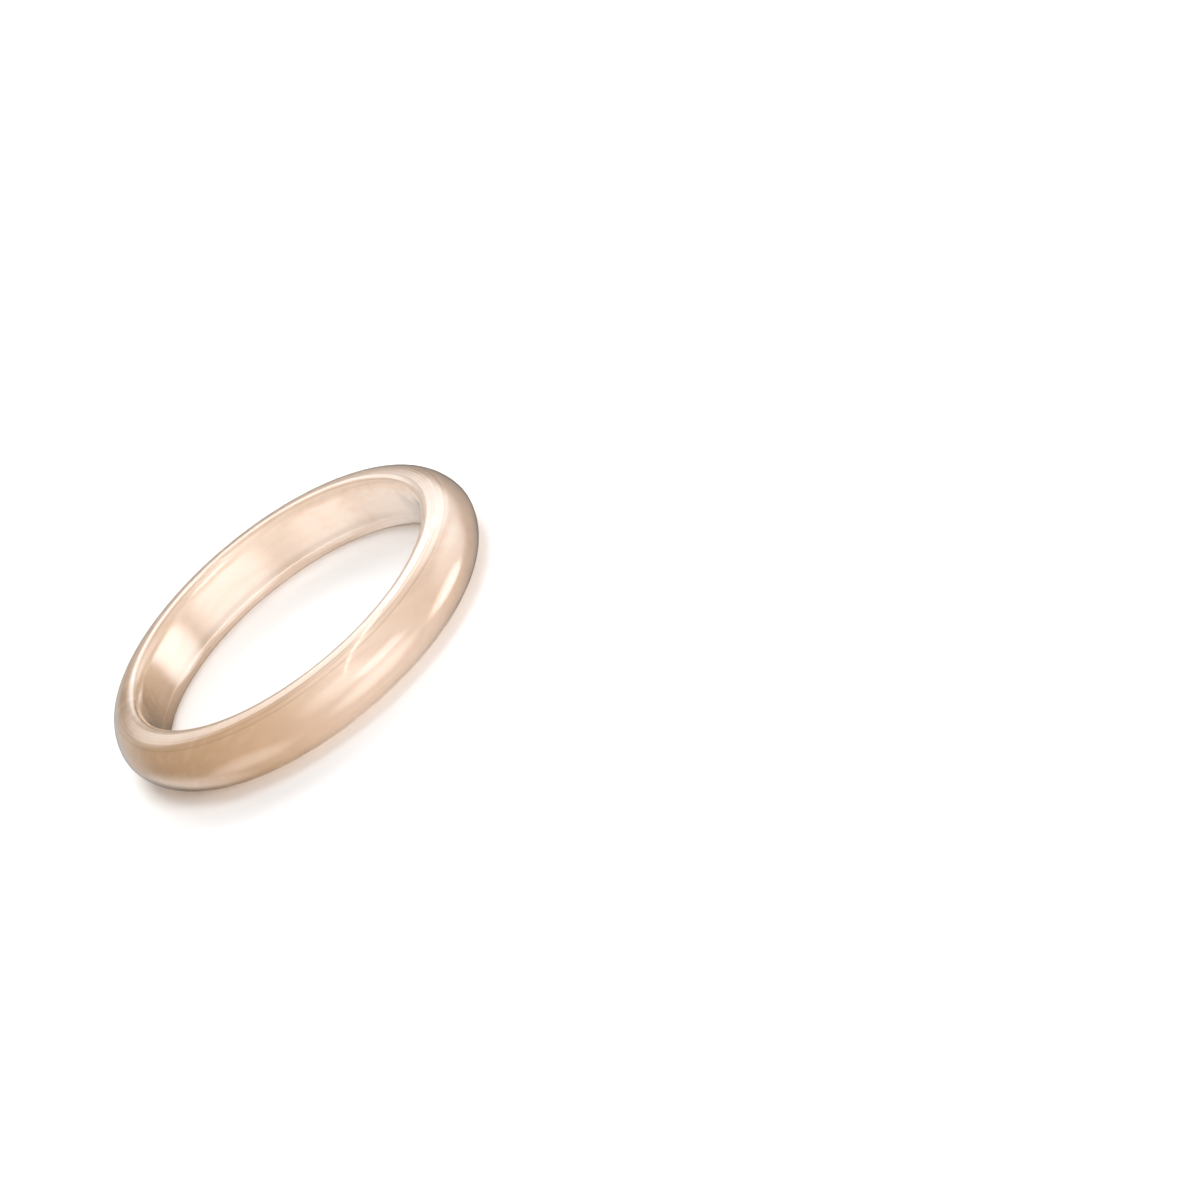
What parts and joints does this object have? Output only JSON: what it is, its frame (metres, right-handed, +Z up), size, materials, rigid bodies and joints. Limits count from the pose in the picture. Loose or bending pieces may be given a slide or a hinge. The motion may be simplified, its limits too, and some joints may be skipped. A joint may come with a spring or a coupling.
{
  "type": "bangle bracelet",
  "caption": "Plain round bangle in one piece of translucent peach satin glass, with a rounded wall round the hole, softly ridged rims and a domed outer face.",
  "frame": {"origin": "the middle of the ring, on the surface that the lower rim rests on", "axes": "+Z up, along the axis of the hole as the bangle lies on its side; it is round, so X and Y are alike"},
  "size_m": [0.074, 0.074, 0.0116],
  "materials": {
    "satin_glass": "polished, translucent peach with a silky sheen that runs round the band"
  },
  "bodies": {
    "root": {"bangle": "satin_glass"}
  },
  "joints": []
}
